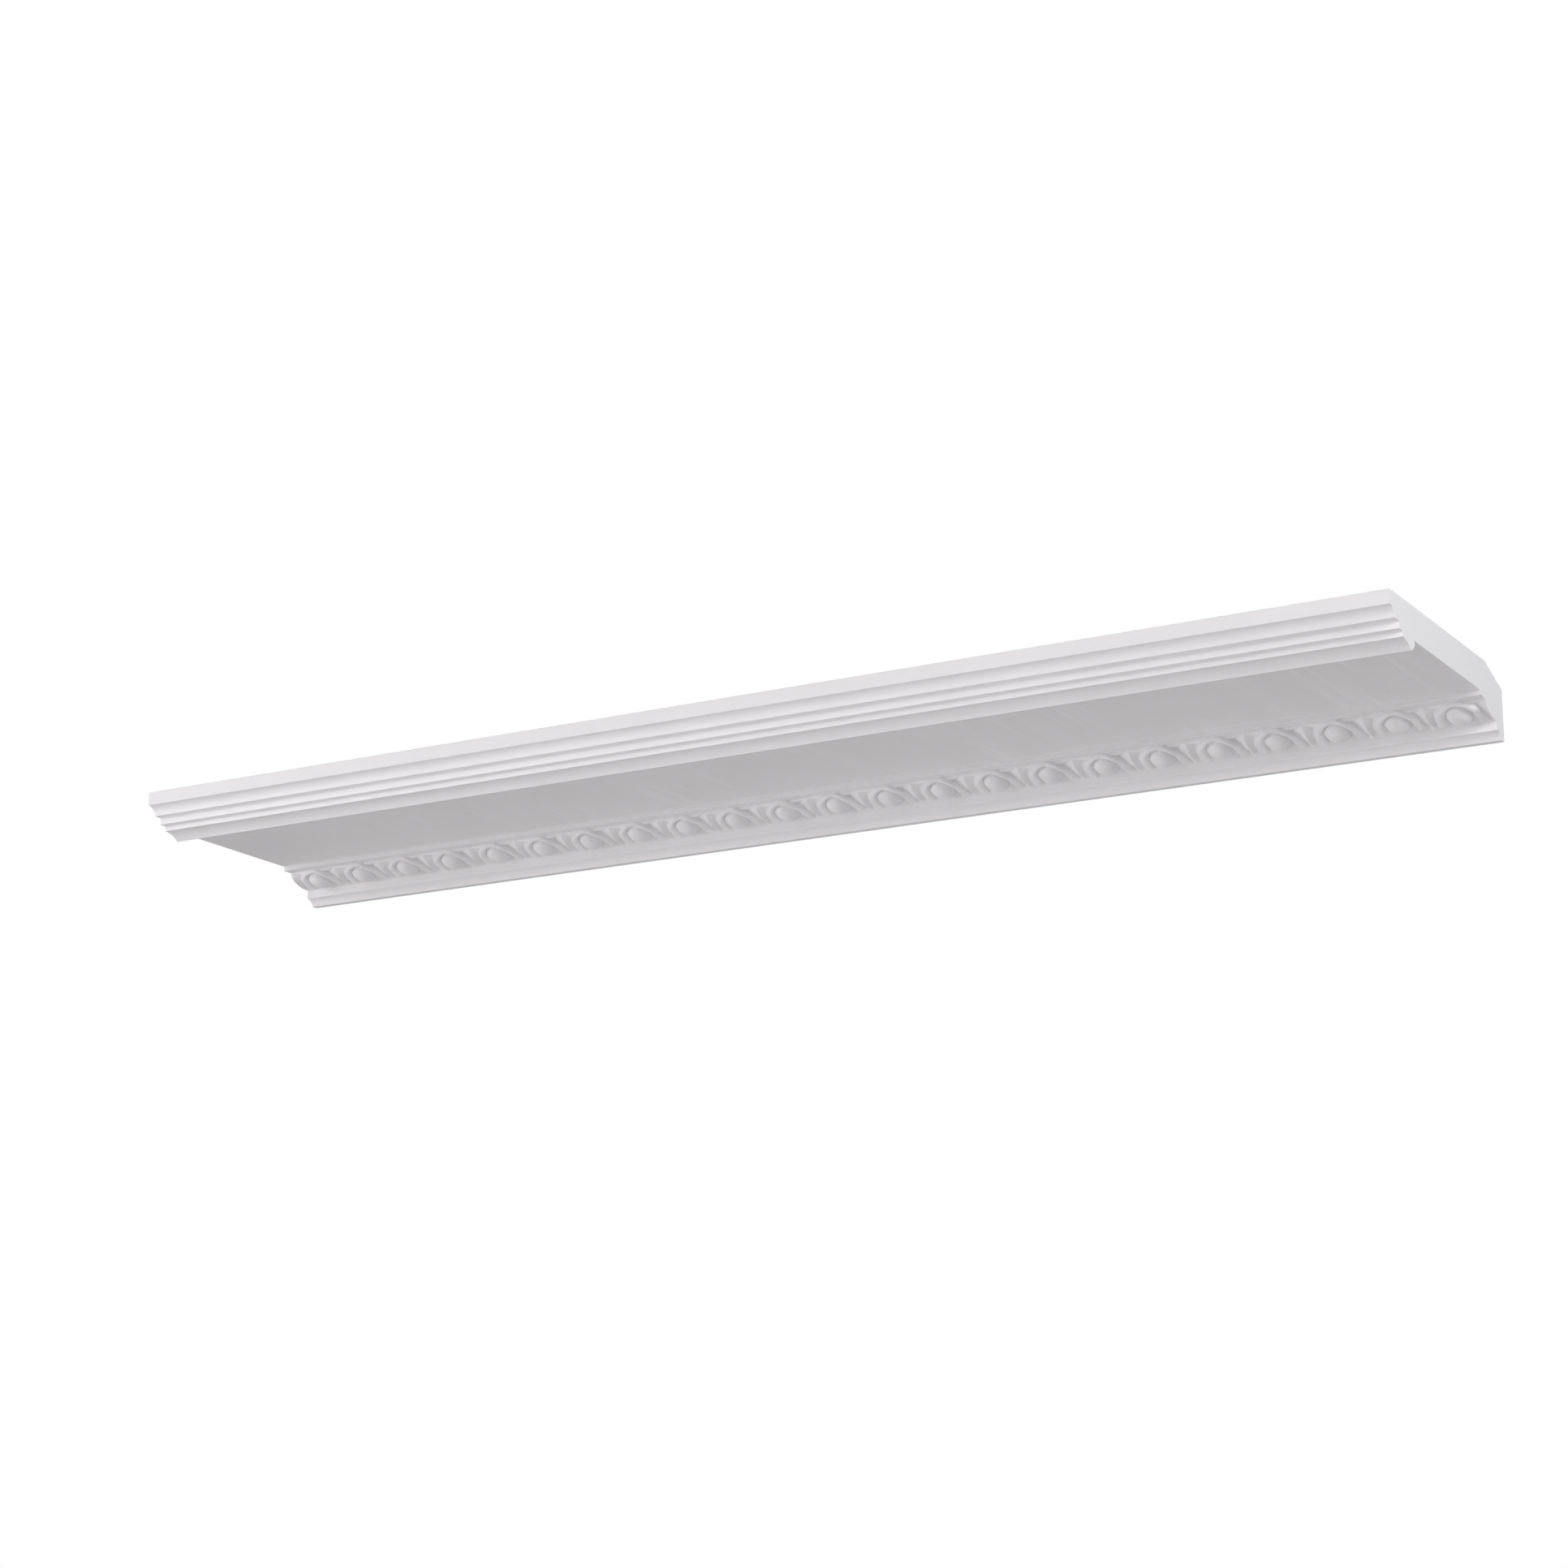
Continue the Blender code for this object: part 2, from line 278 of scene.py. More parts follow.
# %% The ovolo's face by distance down it
OVOLO_SAMPLES = 400
ovolo_angles = np.linspace(0.0, math.pi / 2, OVOLO_SAMPLES)
ovolo_steps = np.hypot(
    OVOLO_WIDTH * np.diff(np.cos(ovolo_angles)),
    OVOLO_DROP * np.diff(np.sin(ovolo_angles)),
)
ovolo_downs = np.concatenate([[0.0], np.cumsum(ovolo_steps)])
BAND_HEIGHT = float(ovolo_downs[-1])
print("carved height:", round(BAND_HEIGHT, 4))


def on_ovolo(down, height):
    """(out, drop) of points that stand height above the ovolo at a distance down its face."""
    angle = np.interp(down, ovolo_downs, ovolo_angles)
    normal_out = np.cos(angle) / OVOLO_WIDTH
    normal_drop = np.sin(angle) / OVOLO_DROP
    size = np.hypot(normal_out, normal_drop)
    out = OVOLO_BACK + OVOLO_WIDTH * np.cos(angle) + height * normal_out / size
    drop = OVOLO_TOP + OVOLO_DROP * np.sin(angle) + height * normal_drop / size
    return out, drop


# %% [markdown]
# The forms are joined with a smooth maximum. Plain `max` would leave a knife line wherever two
# forms meet, while a casting has a small radius there. Each form is a function of the same two
# distances, so the whole grid is worked out at once with numpy.

# %% Forms of the carving
BLEND = 0.0007
LEAST_DIVISOR = 1e-6


def ease(t):
    """A share that starts and ends softly between 0 and 1."""
    t = np.clip(t, 0.0, 1.0)
    return t * t * (3 - 2 * t)


def joined(a, b):
    """The higher of two forms, with a small radius where they meet."""
    share = np.clip(0.5 + 0.5 * (a - b) / BLEND, 0.0, 1.0)
    return b + (a - b) * share + BLEND * share * (1 - share)


def beyond(aside, down, half_width, rise, point, flare):
    """Distance outside an arch with legs that flare. point is 2 for a round crown, less if pointed."""
    below = down - BAND_MIDDLE
    share = np.clip(below / (BAND_HEIGHT - BAND_MIDDLE), 0.0, 1.0)
    outside_leg = aside - half_width - flare * share
    reach = np.hypot(aside, below)
    level = ((aside / half_width) ** point + (np.abs(below) / rise) ** point) ** (1 / point)
    outside_arch = reach * (1 - 1 / np.maximum(level, LEAST_DIVISOR))
    return np.where(below >= 0, outside_leg, outside_arch)


def climbed(aside, down, depth):
    """Depth of the ground, which climbs at the band's foot, most under the egg and round the dart."""
    climb = ease((down - BAND_HEIGHT + FOOT_RAMP) / FOOT_RAMP)
    under_egg = ease((FOOT_TONGUE + FOOT_FADE - aside) / FOOT_FADE)
    by_dart = ease((aside - FOOT_SPREAD + FOOT_FADE) / FOOT_FADE)
    share = FOOT_REST + (1 - FOOT_REST) * np.maximum(under_egg, by_dart)
    return depth + (FOOT_DEPTH - depth) * climb * share


def web(aside, down, depth):
    """The thin web along the top edge that ties the shell's shoulder to the dart."""
    reach = WEB_AT_DART + (WEB_AT_SHELL - WEB_AT_DART) * ease((WEB_END - aside) / (WEB_END - WEB_START))
    top = SHOULDER_RISE * ease((SHOULDER_END - aside) / (SHOULDER_END - SHOULDER_START)) - WEB_DEPTH
    return top - (depth + top) * ease((down - reach) / WEB_SIDE)


def egg(aside, down, depth):
    """A swelling oval, fuller above than below."""
    below = down - BAND_MIDDLE
    level = np.hypot(aside / EGG_HALF_WIDTH, below / np.where(below > 0, EGG_FALL, EGG_RISE))
    return -depth + (depth + EGG_PROUD) * np.clip(1 - level * level, 0.0, 1.0) ** EGG_FULLNESS


def shell(aside, down, channel, depth):
    """The shell that frames the egg: a channel side, a back that leans out at the top, an outer side."""
    lean = RIM_LEAN * ease((BAND_MIDDLE - down) / BAND_MIDDLE)
    past_rim = beyond(aside, down, RIM_HALF_WIDTH, RIM_RISE, RIM_POINT, RIM_FLARE)
    past_edge = beyond(aside, down, SHELL_HALF_WIDTH, SHELL_RISE, SHELL_POINT, SHELL_FLARE)
    rim = lean + RIM_HEIGHT
    edge = SHELL_LEAN_SHARE * lean - SHELL_EDGE_DEPTH
    channel_side = -channel + (channel + rim - RIM_ROUND) * ease(1 + past_rim / CHANNEL_SIDE)
    share = np.clip(past_rim / np.maximum(past_rim - past_edge, LEAST_DIVISOR), 0.0, 1.0)
    rounding = RIM_ROUND * np.clip(1 - share / RIM_ROUND_SHARE, 0.0, 1.0) ** 2
    back = rim + (edge - rim) * share**BACK_POWER - rounding
    outer_side = edge - (depth + edge) * (1 - np.clip(1 - past_edge / SHELL_SIDE, 0.0, 1.0) ** 2)
    return np.where(past_rim < 0, channel_side, np.where(past_edge < 0, back, outer_side))


def dart(aside, down, depth):
    """A ridged arrowhead, broad at the top and narrow at its foot."""
    levels = (0.0, DART_WAIST, BAND_HEIGHT)
    widths = (DART_HALF_WIDTH, DART_WAIST_HALF_WIDTH, DART_TIP_HALF_WIDTH)
    from_ridge = (HALF_REPEAT - aside) / np.interp(down, levels, widths)
    return -DART_DEPTH - (depth - DART_DEPTH) * np.minimum(1.0, from_ridge)


def relief(aside, down):
    """Height of the carving above the ovolo."""
    depth = climbed(aside, down, GROUND_DEPTH)
    channel = climbed(aside, down, CHANNEL_DEPTH)
    inside_rim = beyond(aside, down, RIM_HALF_WIDTH, RIM_RISE, RIM_POINT, RIM_FLARE) < 0
    floor = np.where(inside_rim, -channel, joined(web(aside, down, depth), dart(aside, down, depth)))
    return joined(joined(floor, shell(aside, down, channel, depth)), egg(aside, down, channel))


print("egg stands out:", round(float(relief(np.array(0.0), np.array(BAND_MIDDLE))), 4))


# %% [markdown]
# ## One closed mesh
#
# The band is a grid of quads that follows the ovolo. Each plain face is one long strip from end
# to end. Two flat faces join them: the underside of the upper fillet reaches the band's top
# edge, and the lower fillet reaches its foot. A mesh that is closed all round casts a clean
# shadow, and it can be printed or weighed later.

# %% Build the casting
COLUMNS = 76
ROWS = 52
WELD = 1e-6

PRIMED_FACE = 0
SAWN_END = 1
BONDING_FACE = 2

ends = (-LENGTH / 2, LENGTH / 2)


def in_frame(along, out, drop):
    """The place in the part's frame of a point of the section."""
    return (float(along), float(CEILING_MIDDLE - out), float(-drop))


def band_points():
    """Places and heights of the band's grid, row by row from the top edge."""
    aside = np.linspace(-HALF_REPEAT, HALF_REPEAT, COLUMNS + 1)
    down = np.linspace(0.0, BAND_HEIGHT, ROWS + 1)
    height = relief(np.abs(aside)[None, :], down[:, None])
    height = np.concatenate([np.tile(height[:, :-1], REPEATS), height[:, -1:]], axis=1)
    along = np.linspace(ends[0], ends[1], REPEATS * COLUMNS + 1)
    out, drop = on_ovolo(down[:, None], height)
    return along, out, drop, height


def casting_mesh():
    """Places, faces, finishes and carved heights of the whole casting."""
    along, out, drop, height = band_points()
    rows, columns = out.shape
    places = [in_frame(along[j], out[i, j], drop[i, j]) for i in range(rows) for j in range(columns)]
    faces = []
    finish = []
    for i in range(rows - 1):
        for j in range(columns - 1):
            first = i * columns + j
            faces.append((first, first + columns, first + columns + 1, first + 1))
            finish.append(PRIMED_FACE)
    heights = list(height.ravel())

    def add(place):
        places.append(place)
        heights.append(0.0)
        return len(places) - 1

    lines = {}
    for name, line in (("front", front_line[:-1]), ("back", back_line[1:])):
        lines[name] = [[add(in_frame(x, *point)) for point in line] for x in ends]
        left, right = lines[name]
        wall_from = min([k for k, point in enumerate(line) if point[0] <= WELD], default=len(line))
        for k in range(len(line) - 1):
            faces.append((left[k], left[k + 1], right[k + 1], right[k]))
            hidden = k >= wall_from or (name == "front" and k == 0)
            finish.append(BONDING_FACE if hidden else PRIMED_FACE)

    top_edge = list(range(columns))
    foot_edge = [(rows - 1) * columns + j for j in range(columns)]
    faces.append([lines["front"][0][-1]] + top_edge + [lines["front"][1][-1]])
    faces.append([lines["back"][1][0]] + foot_edge[::-1] + [lines["back"][0][0]])
    finish += [PRIMED_FACE, PRIMED_FACE]
    for side, column in ((0, 0), (1, columns - 1)):
        ridge = [i * columns + column for i in range(rows)]
        faces.append(lines["front"][side] + ridge + lines["back"][side][:-1])
        finish.append(SAWN_END)
    return places, faces, finish, heights


places, faces, finish, heights = casting_mesh()
mesh = bpy.data.meshes.new("cornice_casting")
mesh.from_pydata(places, [], faces)
mesh.polygons.foreach_set("material_index", finish)
carved = mesh.attributes.new("carved_height", "FLOAT", "POINT")
carved.data.foreach_set("value", heights)
print("drawn faces:", len(mesh.polygons))

# %% [markdown]
# Smooth shading blends the direction of neighbouring faces. It must stop at the cut ends and
# where the flat fillets meet the carving, so those edges are marked sharp by where they lie.

# %% Weld, turn the faces outward and mark the sharp edges
bm = bmesh.new()
bm.from_mesh(mesh)
bmesh.ops.remove_doubles(bm, verts=bm.verts, dist=WELD)
bmesh.ops.recalc_face_normals(bm, faces=bm.faces)


def lies_on(edge, axis, level):
    """Whether both ends of an edge are at one level of an axis."""
    return all(abs(vert.co[axis] - level) < WELD for vert in edge.verts)


for face in bm.faces:
    face.smooth = True
for edge in bm.edges:
    at_end = lies_on(edge, 0, ends[0]) or lies_on(edge, 0, ends[1])
    at_fillet = lies_on(edge, 2, -OVOLO_TOP) or lies_on(edge, 1, CEILING_MIDDLE - OVOLO_BACK)
    if at_end or (at_fillet and edge.calc_length() < REPEAT):
        edge.smooth = False
open_edges = sum(not edge.is_manifold for edge in bm.edges)
triangles = sum(len(face.verts) - 2 for face in bm.faces)
print("open edges:", open_edges, "triangles:", triangles, "volume:", round(bm.calc_volume(), 5))
bm.to_mesh(mesh)
bm.free()

casting = bpy.data.objects.new("cornice_casting", mesh)
bpy.context.scene.collection.objects.link(casting)
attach(casting, "root")
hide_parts("cornice")

# %% [markdown]
# ## The finish
#
# The casting is sprayed with white primer. The film is almost flat in colour, but not quite. It
# has a fine grain, a slow mottle and faint wiped streaks. Its hollows are also painted greyer, as
# painted shade. The grain and the mottle are small node groups that all three finishes share,
# each with values of their own. The helpers here only save typing: they make a group, add a node,
# set it and wire it.

# %% Helpers for node groups
SOCKET_KINDS = {"value": "NodeSocketFloat", "colour": "NodeSocketColor"}


def new_group(name, inputs, outputs):
    """A shader node group with named float or colour sockets."""
    group = bpy.data.node_groups.new(name, "ShaderNodeTree")
    for socket, (kind, default) in inputs.items():
        made = group.interface.new_socket(name=socket, in_out="INPUT", socket_type=SOCKET_KINDS[kind])
        made.default_value = default
    for socket, kind in outputs.items():
        group.interface.new_socket(name=socket, in_out="OUTPUT", socket_type=SOCKET_KINDS[kind])
    nodes = group.nodes
    return group, nodes.new("NodeGroupInput"), nodes.new("NodeGroupOutput")


def add_node(tree, kind, **settings):
    """A new node with its settings."""
    node = tree.nodes.new(kind)
    for name, value in settings.items():
        setattr(node, name, value)
    return node


def wire(tree, *pairs):
    """Links each pair of an output and an input."""
    for source, target in pairs:
        tree.links.new(source, target)


def maths(tree, operation, a, b):
    """The result of a Math node from two sockets or numbers."""
    node = add_node(tree, "ShaderNodeMath", operation=operation)
    for slot, value in enumerate((a, b)):
        if isinstance(value, (int, float)):
            node.inputs[slot].default_value = value
        else:
            tree.links.new(value, node.inputs[slot])
    return node.outputs[0]


def between(tree, value, low, high, from_amount=0.0, to_amount=1.0):
    """A value stretched so that low gives from_amount and high gives to_amount, held outside them."""
    node = add_node(tree, "ShaderNodeMapRange")
    node.inputs["From Min"].default_value = low
    node.inputs["From Max"].default_value = high
    node.inputs["To Min"].default_value = from_amount
    node.inputs["To Max"].default_value = to_amount
    tree.links.new(value, node.inputs["Value"])
    return node.outputs["Result"]


def noise(tree, scale, detail, stretch=(1.0, 1.0, 1.0), turn=0.0):
    """Noise in the piece's own space, stretched along its axes and turned about the upright one."""
    coords = add_node(tree, "ShaderNodeTexCoord")
    place = add_node(tree, "ShaderNodeMapping")
    place.inputs["Scale"].default_value = stretch
    place.inputs["Rotation"].default_value = (0.0, 0.0, turn)
    texture = add_node(tree, "ShaderNodeTexNoise")
    texture.inputs["Scale"].default_value = scale
    texture.inputs["Detail"].default_value = detail
    wire(
        tree,
        (coords.outputs["Object"], place.inputs["Vector"]),
        (place.outputs["Vector"], texture.inputs["Vector"]),
    )
    return texture


def mixed(tree, factor, a, b):
    """A colour blended by a factor towards another, which is a socket or a plain colour."""
    node = add_node(tree, "ShaderNodeMix", data_type="RGBA")
    wire(tree, (factor, node.inputs["Factor"]), (a, node.inputs["A"]))
    if isinstance(b, tuple):
        node.inputs["B"].default_value = (*b, 1.0)
    else:
        tree.links.new(b, node.inputs["B"])
    return node.outputs["Result"]


print("socket kinds:", sorted(SOCKET_KINDS))

# %% [markdown]
# Sprayed primer dries to a fine grain, too small to model. Noise of about a millimetre gives it:
# its height feeds the bump, and the same noise varies the roughness, so a grazing light finds it.

# %% Fine grain of the sprayed film
GRAIN_SIZE = 900.0
GRAIN_DETAIL = 3.0
LOW_ROUGHNESS = 0.5
HIGH_ROUGHNESS = 0.65

grain, grain_in, grain_out = new_group(
    "primer_grain",
    {
        "Size": ("value", GRAIN_SIZE),
        "Low Roughness": ("value", LOW_ROUGHNESS),
        "High Roughness": ("value", HIGH_ROUGHNESS),
    },
    {"Height": "value", "Roughness": "value"},
)
grain_noise = noise(grain, GRAIN_SIZE, GRAIN_DETAIL)
grain_range = add_node(grain, "ShaderNodeMapRange")
wire(
    grain,
    (grain_in.outputs["Size"], grain_noise.inputs["Scale"]),
    (grain_noise.outputs["Fac"], grain_out.inputs["Height"]),
    (grain_noise.outputs["Fac"], grain_range.inputs["Value"]),
    (grain_in.outputs["Low Roughness"], grain_range.inputs["To Min"]),
    (grain_in.outputs["High Roughness"], grain_range.inputs["To Max"]),
    (grain_range.outputs["Result"], grain_out.inputs["Roughness"]),
)
print("grain settings:", [socket.name for socket in grain_in.outputs if socket.name])

# %% [markdown]
# The spray gun lays on thicker here and thinner there, so the white drifts slowly along the
# piece, with a few smaller blotches. Two noises of different size add up to a thinness, which
# blends the full colour towards the thin one. A painted picture could do it too, but it would
# need a layout of its own and would blur close up.

# %% Slow mottle of the film
WHITE = (0.86, 0.86, 0.86, 1.0)
THIN_WHITE = (0.8, 0.8, 0.8, 1.0)
MOTTLE_SIZE = 7.0
MOTTLE_DETAIL = 5.0
MOTTLE_RANGE = (0.35, 0.65)
MOTTLE_SHARE = 0.7
BLOTCH_SIZE = 34.0
BLOTCH_DETAIL = 1.0
BLOTCH_STRETCH = (1.0, 2.5, 2.5)
BLOTCH_RANGE = (0.55, 0.75)
BLOTCH_SHARE = 0.5

mottle, mottle_in, mottle_out = new_group(
    "film_mottle",
    {"Colour": ("colour", WHITE), "Thin Colour": ("colour", THIN_WHITE), "Amount": ("value", 1.0)},
    {"Colour": "colour"},
)
slow = noise(mottle, MOTTLE_SIZE, MOTTLE_DETAIL)
blotch = noise(mottle, BLOTCH_SIZE, BLOTCH_DETAIL, BLOTCH_STRETCH)
thinness = maths(
    mottle,
    "ADD",
    between(mottle, slow.outputs["Fac"], *MOTTLE_RANGE, 0.0, MOTTLE_SHARE),
    between(mottle, blotch.outputs["Fac"], *BLOTCH_RANGE, 0.0, BLOTCH_SHARE),
)
thinness = maths(mottle, "MULTIPLY", thinness, mottle_in.outputs["Amount"])
film_colour = mixed(mottle, thinness, mottle_in.outputs["Colour"], mottle_in.outputs["Thin Colour"])
wire(mottle, (film_colour, mottle_out.inputs["Colour"]))
print("mottle sizes:", MOTTLE_SIZE, BLOTCH_SIZE)

# %% [markdown]
# The soffit shows faint light streaks from front to back, where it was wiped down, and they grow
# stronger to the right. Noise that is squeezed along the piece and stretched across it makes thin
# scratches and broad bands. The soffit is found by its level alone.

# %% Streaks across the soffit
STREAK_AMOUNT = 0.9
STREAK_LEVEL_GAP = 0.0004
STREAK_TURN = math.radians(4)
STREAK_DETAIL = 2.0
SCRATCH_STRETCH = (95.0, 2.6, 1.0)
SCRATCH_RANGE = (0.56, 0.68)
STREAK_BAND_STRETCH = (17.0, 1.5, 1.0)
STREAK_BAND_RANGE = (0.50, 0.72)
STREAK_BAND_SHARE = 0.6
PATCH_STRETCH = (4.0, 7.0, 1.0)
PATCH_RANGE = (0.40, 0.60)
PATCH_DETAIL = 1.0
SHARE_AT_LEFT = 0.35

streaks, streaks_in, streaks_out = new_group(
    "wiped_streaks",
    {"Amount": ("value", STREAK_AMOUNT)},
    {"Mask": "value"},
)
place = add_node(streaks, "ShaderNodeTexCoord")
parts = add_node(streaks, "ShaderNodeSeparateXYZ")
wire(streaks, (place.outputs["Object"], parts.inputs["Vector"]))
off_level = maths(streaks, "ABSOLUTE", maths(streaks, "ADD", parts.outputs["Z"], SOFFIT_DROP), 0.0)
on_soffit = maths(streaks, "LESS_THAN", off_level, STREAK_LEVEL_GAP)
scratch = noise(streaks, 1.0, STREAK_DETAIL, SCRATCH_STRETCH, STREAK_TURN)
band = noise(streaks, 1.0, STREAK_DETAIL, STREAK_BAND_STRETCH, STREAK_TURN)
patch = noise(streaks, 1.0, PATCH_DETAIL, PATCH_STRETCH)
toward_right = between(streaks, parts.outputs["X"], *ends, SHARE_AT_LEFT, 1.0)
scratches = between(streaks, scratch.outputs["Fac"], *SCRATCH_RANGE)
patches = between(streaks, patch.outputs["Fac"], *PATCH_RANGE)
bands = between(streaks, band.outputs["Fac"], *STREAK_BAND_RANGE, 0.0, STREAK_BAND_SHARE)
marks = maths(streaks, "ADD", maths(streaks, "MULTIPLY", scratches, patches), bands)
marks = maths(streaks, "MULTIPLY", maths(streaks, "MULTIPLY", marks, toward_right), on_soffit)
marks = maths(streaks, "MULTIPLY", marks, streaks_in.outputs["Amount"])
wire(streaks, (marks, streaks_out.inputs["Mask"]))
print("node groups:", [group.name for group in bpy.data.node_groups])

# %% [markdown]
# The piece has three finishes: primer on the moulded face, a duller cut at the ends, and the bare
# back and top that the adhesive grips. They are one recipe with values of their own: the film
# group gives the colour, and the grain group gives the roughness and the bump.

# %% The three finishes
ROUGHNESS_SPREAD = 0.08


def finish_material(name, colour, thin_colour, roughness, grain_size, bump_distance):
    """A painted finish with its mottle and grain."""
    material = bpy.data.materials.new(name)
    material.use_nodes = True
    tree = material.node_tree
    shader = tree.nodes["Principled BSDF"]
    shader.inputs["Metallic"].default_value = 0.0
    film = add_node(tree, "ShaderNodeGroup", node_tree=mottle, name="film")
    film.inputs["Colour"].default_value = (*colour, 1.0)
    film.inputs["Thin Colour"].default_value = (*thin_colour, 1.0)
    texture = add_node(tree, "ShaderNodeGroup", node_tree=grain)
    texture.inputs["Size"].default_value = grain_size
    texture.inputs["Low Roughness"].default_value = roughness - ROUGHNESS_SPREAD
    texture.inputs["High Roughness"].default_value = roughness + ROUGHNESS_SPREAD
    bump = add_node(tree, "ShaderNodeBump")
    bump.inputs["Distance"].default_value = bump_distance
    wire(
        tree,
        (film.outputs["Colour"], shader.inputs["Base Color"]),
        (texture.outputs["Roughness"], shader.inputs["Roughness"]),
        (texture.outputs["Height"], bump.inputs["Height"]),
        (bump.outputs["Normal"], shader.inputs["Normal"]),
    )
    return material


primed = finish_material(
    "primed_face",
    colour=(0.869, 0.849, 0.865),
    thin_colour=(0.845, 0.825, 0.839),
    roughness=0.55,
    grain_size=900.0,
    bump_distance=0.00004,
)
sawn = finish_material(
    "sawn_end",
    colour=(0.856, 0.853, 0.872),
    thin_colour=(0.842, 0.840, 0.856),
    roughness=0.65,
    grain_size=700.0,
    bump_distance=0.00006,
)
bonding = finish_material(
    "bonding_face",
    colour=(0.84, 0.84, 0.83),
    thin_colour=(0.78, 0.78, 0.76),
    roughness=0.7,
    grain_size=500.0,
    bump_distance=0.0001,
)
print("finishes:", primed.name, sawn.name, bonding.name)

# %% [markdown]
# Two effects belong to the painted face alone. Its sunk ground is painted a touch greyer. This is
# painted shade, which stands in for the shade that falls in the hollows. The mesh carries each
# point's carved height as an attribute, so the painted shade follows the carving exactly. The wiped
# streaks then lighten the soffit.

# %% Streaks and painted recess shade on the painted face
# Painted shade in the hollows: the carved heights where it starts and where it is full, and its grey.
RECESS_TOP = -0.0012
RECESS_BOTTOM = -0.0064
LIGHT_FILM_COLOUR = (0.918, 0.900, 0.916)
RECESS_SHADE_COLOUR = (0.803, 0.785, 0.799)

tree = primed.node_tree
shader = tree.nodes["Principled BSDF"]
wiped = add_node(tree, "ShaderNodeGroup", node_tree=streaks)
wiped.inputs["Amount"].default_value = STREAK_AMOUNT
carving = add_node(tree, "ShaderNodeAttribute", attribute_name="carved_height")
# Painted shade: the film colour is blended towards a grey as the carving sinks below the ovolo.
painted_shade_share = between(tree, carving.outputs["Fac"], RECESS_TOP, RECESS_BOTTOM)
shaded_film_colour = mixed(tree, painted_shade_share, tree.nodes["film"].outputs["Colour"], RECESS_SHADE_COLOUR)
painted = mixed(tree, wiped.outputs["Mask"], shaded_film_colour, LIGHT_FILM_COLOUR)
wire(tree, (painted, shader.inputs["Base Color"]))

for material in (primed, sawn, bonding):
    mesh.materials.append(material)
print("materials:", [material.name for material in mesh.materials])

# %% [markdown]
# ## The studio
#
# The photograph has a plain white surround and soft light. A pale floor lies well below the
# piece, and it is clear from its underside, so it hides nothing in a view from far below. From
# above, the camera sees mostly an even pale glow in place of the lit floor. Only camera rays see
# that glow, so it doesn't brighten the piece.

# %% Floor
FLOOR_COLOUR = (0.8, 0.8, 0.8, 1.0)
FLOOR_ROUGHNESS = 0.8
FLOOR_LEVEL = -3.0
FLOOR_RADIUS = 30.0
FLOOR_SIDES = 96
FLOOR_SEEN = 0.97
FLOOR_SHARE = 0.85

floor_mesh = bpy.data.meshes.new("studio_floor")
floor_bm = bmesh.new()
bmesh.ops.create_circle(floor_bm, cap_ends=True, radius=FLOOR_RADIUS, segments=FLOOR_SIDES)
floor_bm.to_mesh(floor_mesh)
floor_bm.free()
floor = bpy.data.objects.new("studio_floor", floor_mesh)
floor.location.z = FLOOR_LEVEL
bpy.context.scene.collection.objects.link(floor)
floor_material = bpy.data.materials.new("pale_floor")
floor_material.use_nodes = True
floor_tree = floor_material.node_tree
floor_shader = floor_tree.nodes["Principled BSDF"]
floor_shader.inputs["Base Color"].default_value = FLOOR_COLOUR
floor_shader.inputs["Roughness"].default_value = FLOOR_ROUGHNESS
side_seen = add_node(floor_tree, "ShaderNodeNewGeometry")
clear = add_node(floor_tree, "ShaderNodeBsdfTransparent")
one_way = add_node(floor_tree, "ShaderNodeMixShader")
seen_floor = add_node(floor_tree, "ShaderNodeEmission")
seen_floor.inputs["Strength"].default_value = FLOOR_SEEN
looked_at = add_node(floor_tree, "ShaderNodeLightPath")
pale = add_node(floor_tree, "ShaderNodeMixShader")
glow_share = maths(floor_tree, "MULTIPLY", looked_at.outputs["Is Camera Ray"], FLOOR_SHARE)
wire(
    floor_tree,
    (glow_share, pale.inputs["Fac"]),
    (floor_shader.outputs["BSDF"], pale.inputs[1]),
    (seen_floor.outputs["Emission"], pale.inputs[2]),
    (side_seen.outputs["Backfacing"], one_way.inputs["Fac"]),
    (pale.outputs["Shader"], one_way.inputs[1]),
    (clear.outputs["BSDF"], one_way.inputs[2]),
    (one_way.outputs["Shader"], floor_tree.nodes["Material Output"].inputs["Surface"]),
)
floor_mesh.materials.append(floor_material)
print("floor level:", FLOOR_LEVEL)

# %% [markdown]
# The white surround is a world that only the camera sees. It lights nothing, so all the light on
# the piece starts from the lamps, which are easy to steer.

# %% World
SURROUND_COLOUR = (1.0, 1.0, 1.0, 1.0)

world = bpy.data.worlds.new("studio_white")
bpy.context.scene.world = world
world.use_nodes = True
sky = world.node_tree
sky.nodes.clear()
seen = add_node(sky, "ShaderNodeBackground")
seen.inputs["Color"].default_value = SURROUND_COLOUR
ray = add_node(sky, "ShaderNodeLightPath")
sky_out = add_node(sky, "ShaderNodeOutputWorld")
wire(
    sky,
    (ray.outputs["Is Camera Ray"], seen.inputs["Strength"]),
    (seen.outputs["Background"], sky_out.inputs["Surface"]),
)
bpy.context.scene.view_settings.view_transform = "Standard"
print("world:", world.name)

# %% [markdown]
# Large soft lights stand where the shading of the real piece says they stood. The main one comes
# from the left and a little from below, and it models the eggs. The ones in front and on the right
# light the steps and the cut end, and a glow from below lights the soffit. The last two light the
# back and the top, which the photograph doesn't show.

# %% Lights
LOOK_AT = Vector((0.0, 0.0, -0.05))


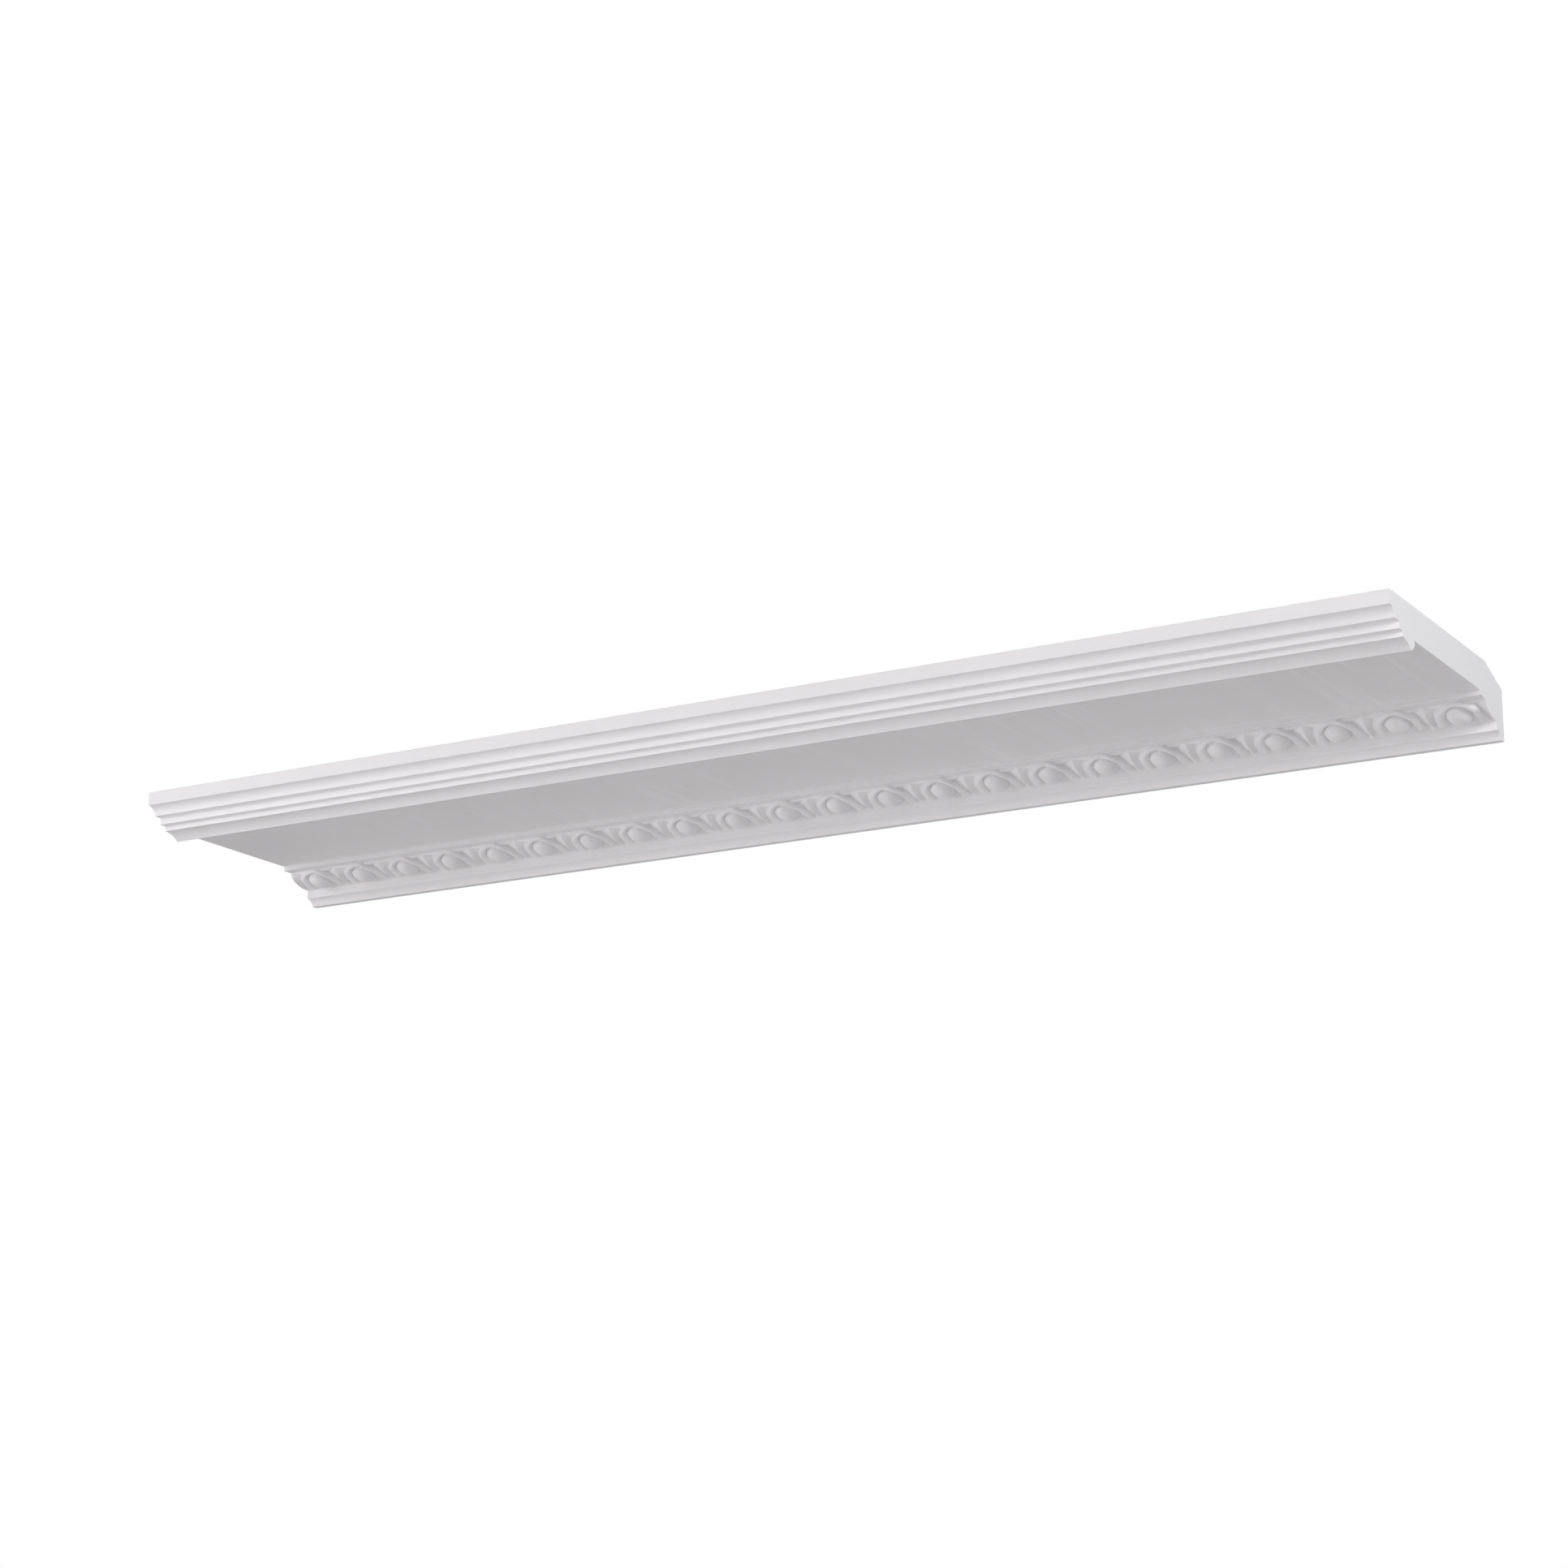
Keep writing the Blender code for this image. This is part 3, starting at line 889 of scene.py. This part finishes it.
def soft_light(name, turn, climb, distance, size, power):
    """A square soft box aimed at the cornice. turn is from the front, climb from level, in degrees."""
    turn, climb = math.radians(turn), math.radians(climb)
    level = math.cos(climb)
    toward = Vector((math.sin(turn) * level, -math.cos(turn) * level, math.sin(climb)))
    lamp = bpy.data.lights.new(name, "AREA")
    lamp.shape = "SQUARE"
    lamp.size = size
    lamp.energy = power
    holder = bpy.data.objects.new(name, lamp)
    holder.location = LOOK_AT + toward * distance
    holder.rotation_euler = toward.to_track_quat("Z", "Y").to_euler()
    holder.visible_camera = False
    bpy.context.scene.collection.objects.link(holder)
    return holder


lights = [
    soft_light("side_light", turn=-60, climb=-10, distance=9.0, size=1.8, power=204),
    soft_light("front_light", turn=0, climb=8, distance=7.0, size=1.6, power=50),
    soft_light("front_left_light", turn=-20, climb=3, distance=7.0, size=1.6, power=70),
    soft_light("front_right_light", turn=30, climb=19, distance=6.0, size=1.6, power=50),
    soft_light("low_right_light", turn=38, climb=-6, distance=7.0, size=1.6, power=22),
    soft_light("near_left_light", turn=-50, climb=10, distance=3.0, size=1.0, power=10),
    soft_light("right_light", turn=75, climb=12, distance=5.0, size=1.8, power=134),
    soft_light("floor_glow", turn=18, climb=-68, distance=2.7, size=3.0, power=9),
    soft_light("back_light", turn=180, climb=12, distance=6.0, size=2.4, power=130),
    soft_light("top_light", turn=180, climb=78, distance=5.0, size=2.4, power=105),
]
print("lights:", [light.name for light in lights])

# %% [markdown]
# ## The camera
#
# The photograph was taken from below and from the right of the piece. The place, the direction
# and the focal length come from its long straight edges and its two cut ends.

# %% Camera
SENSOR_WIDTH = 36.0
FOCAL_LENGTH = 79.567
CAMERA_PLACE = Vector((2.413197, -4.134886, -1.357392))
CAMERA_TURN = math.radians(30.064)
CAMERA_TILT = math.radians(14.955)

camera_data = bpy.data.cameras.new("photo_camera")
camera_data.lens = FOCAL_LENGTH
camera_data.sensor_width = SENSOR_WIDTH
camera = bpy.data.objects.new("photo_camera", camera_data)
camera.location = CAMERA_PLACE
camera.rotation_euler = (math.pi / 2 + CAMERA_TILT, 0.0, CAMERA_TURN)
bpy.context.scene.collection.objects.link(camera)
bpy.context.scene.camera = camera
print("camera at:", [round(value, 3) for value in camera.location])
